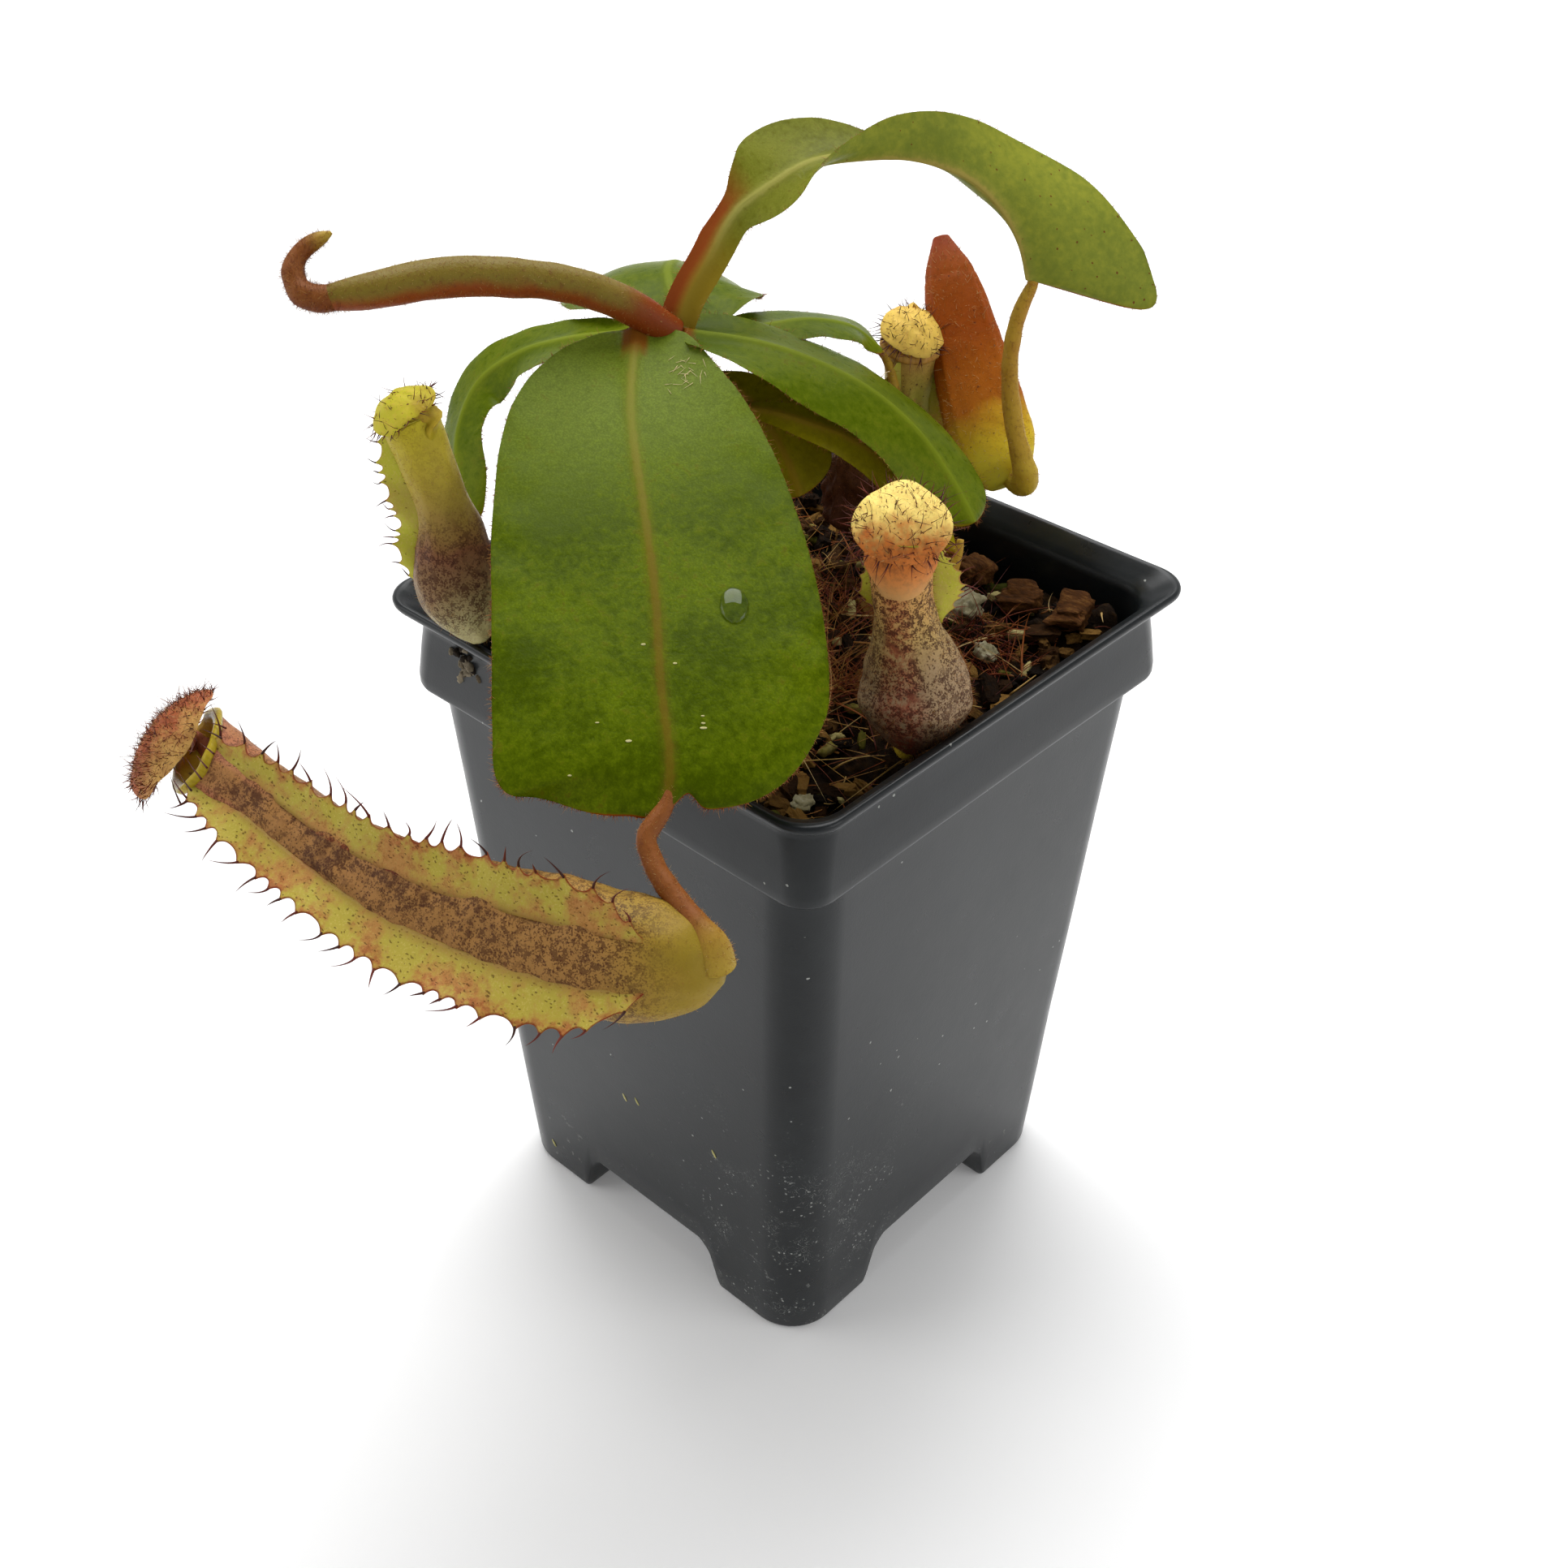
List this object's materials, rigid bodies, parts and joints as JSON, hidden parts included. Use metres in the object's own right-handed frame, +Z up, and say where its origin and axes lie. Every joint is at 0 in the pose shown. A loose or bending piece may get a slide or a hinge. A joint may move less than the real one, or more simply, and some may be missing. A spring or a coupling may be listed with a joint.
{
  "type": "potted pitcher plant",
  "caption": "Young pitcher plant with broad leaves and hanging pitchers on tendrils, in a tall square nursery pot of bark mix.",
  "frame": {"origin": "middle of the whole footprint, on the surface that the pot stands on; the pot's own axis is at x = 2.5 mm, y = 22.4 mm", "axes": "+Z up; X and Y along the pot's walls; the picture looks down from +X, -Y, so the large hanging pitcher is on the -Y side"},
  "size_m": [0.105, 0.1494, 0.1944],
  "materials": {
    "pot_plastic": "charcoal moulded plastic, half gloss, lightly scuffed and dusty",
    "bark_mix": "damp coarse bark, coir and moss",
    "stem_bark": "woody green-brown stem",
    "leaf_green": "waxy green leaf with a soft sheen",
    "leaf_old": "older yellow-green leaf",
    "new_leaf": "rolled new leaf, olive above and red below",
    "tendril_brown": "downy red-brown tendril",
    "tendril_olive": "downy olive tendril",
    "pitcher_green": "yellow-green pitcher with dark speckles",
    "pitcher_speckled": "tan pitcher with purple-brown speckles",
    "pitcher_orange": "orange-brown closed pitcher",
    "lid_yellow": "cream-yellow bristly lid",
    "lid_pink": "pink-tan bristly lid",
    "dried_tissue": "withered brown pitcher",
    "bark_chip": "rough bark chip",
    "pale_stone": "dull pale horticultural stone"
  },
  "bodies": {
    "root": {"pot": "pot_plastic", "growing_medium": "bark_mix", "stem": "stem_bark", "front_leaf": "leaf_green", "arching_leaf": "leaf_green", "rolled_leaf": "new_leaf", "rolled_leaf_tip": "tendril_brown", "front_pitcher": "pitcher_green", "left_pitcher": "pitcher_speckled", "right_pitcher": "pitcher_speckled", "back_pitcher": "pitcher_green", "unopened_pitcher": "pitcher_orange", "withered_pitcher": "dried_tissue", "right_leaf": "leaf_green", "left_leaf": "leaf_green", "back_right_leaf": "leaf_green", "back_leaf": "leaf_green", "hanging_leaf": "leaf_old", "lower_right_leaf": "leaf_old", "front_tendril": "tendril_brown", "arching_tendril": "tendril_olive", "left_tendril": "tendril_olive", "back_tendril": "tendril_olive", "right_tendril": "tendril_olive", "front_pitcher_lid": "lid_pink", "left_pitcher_lid": "lid_yellow", "right_pitcher_lid": "lid_yellow", "back_pitcher_lid": "lid_yellow", "bark_chip_1": "bark_chip", "bark_chip_2": "bark_chip", "bark_chip_3": "bark_chip", "bark_chip_4": "bark_chip", "bark_chip_5": "bark_chip", "bark_chip_6": "bark_chip", "wood_chip": "bark_chip", "pale_stone_1": "pale_stone", "pale_stone_2": "pale_stone", "pale_stone_3": "pale_stone", "pale_stone_4": "pale_stone"}
  },
  "joints": []
}
